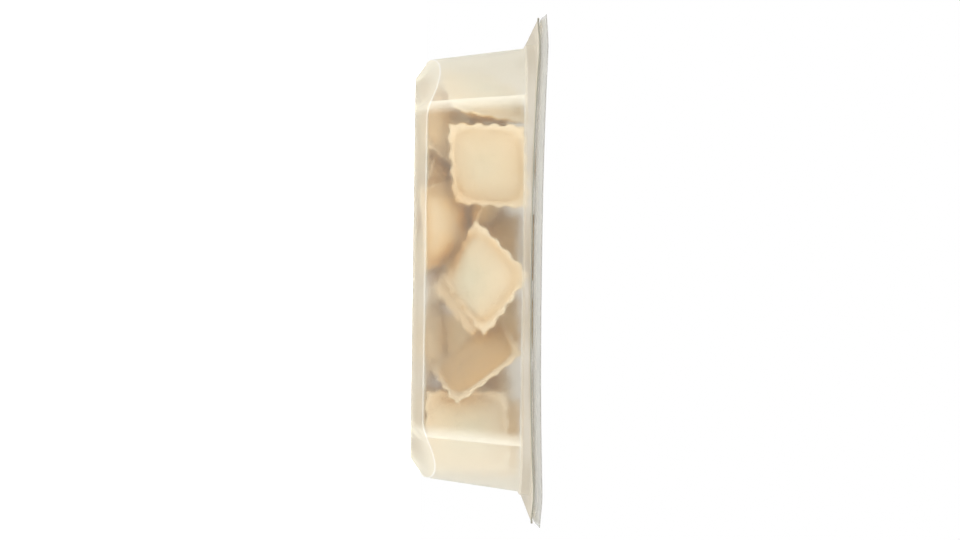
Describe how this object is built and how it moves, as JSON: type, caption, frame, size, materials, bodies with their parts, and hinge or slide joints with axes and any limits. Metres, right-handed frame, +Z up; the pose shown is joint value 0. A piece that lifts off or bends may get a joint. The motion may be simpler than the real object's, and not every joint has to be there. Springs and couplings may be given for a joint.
{
  "type": "tray of fresh ravioli",
  "caption": "Sealed frosted plastic tray filled with a heap of fresh square ravioli with zigzag-cut rims, closed by a clear film whose loose margin turns up along the sides.",
  "frame": {"origin": "middle of the tray's flat base, where the pack stands", "axes": "+X along the tray, +Y across it from the front wall to the back wall, +Z up through the film"},
  "size_m": [0.219, 0.1542, 0.0566],
  "materials": {
    "tray_plastic": "satin",
    "film": "gloss",
    "dough": "matte"
  },
  "bodies": {
    "root": {"tray": "tray_plastic", "lid_film": "film", "ravioli_01": "dough", "ravioli_02": "dough", "ravioli_03": "dough", "ravioli_04": "dough", "ravioli_05": "dough", "ravioli_06": "dough", "ravioli_07": "dough", "ravioli_08": "dough", "ravioli_09": "dough", "ravioli_10": "dough", "ravioli_11": "dough", "ravioli_12": "dough", "ravioli_13": "dough", "ravioli_14": "dough", "ravioli_15": "dough", "ravioli_16": "dough", "ravioli_17": "dough", "ravioli_18": "dough", "ravioli_19": "dough", "ravioli_20": "dough", "ravioli_21": "dough", "ravioli_22": "dough", "ravioli_23": "dough", "ravioli_24": "dough", "ravioli_25": "dough", "ravioli_26": "dough", "ravioli_27": "dough", "ravioli_28": "dough", "ravioli_29": "dough", "ravioli_30": "dough", "ravioli_31": "dough", "ravioli_32": "dough", "ravioli_33": "dough", "ravioli_34": "dough"}
  },
  "joints": []
}
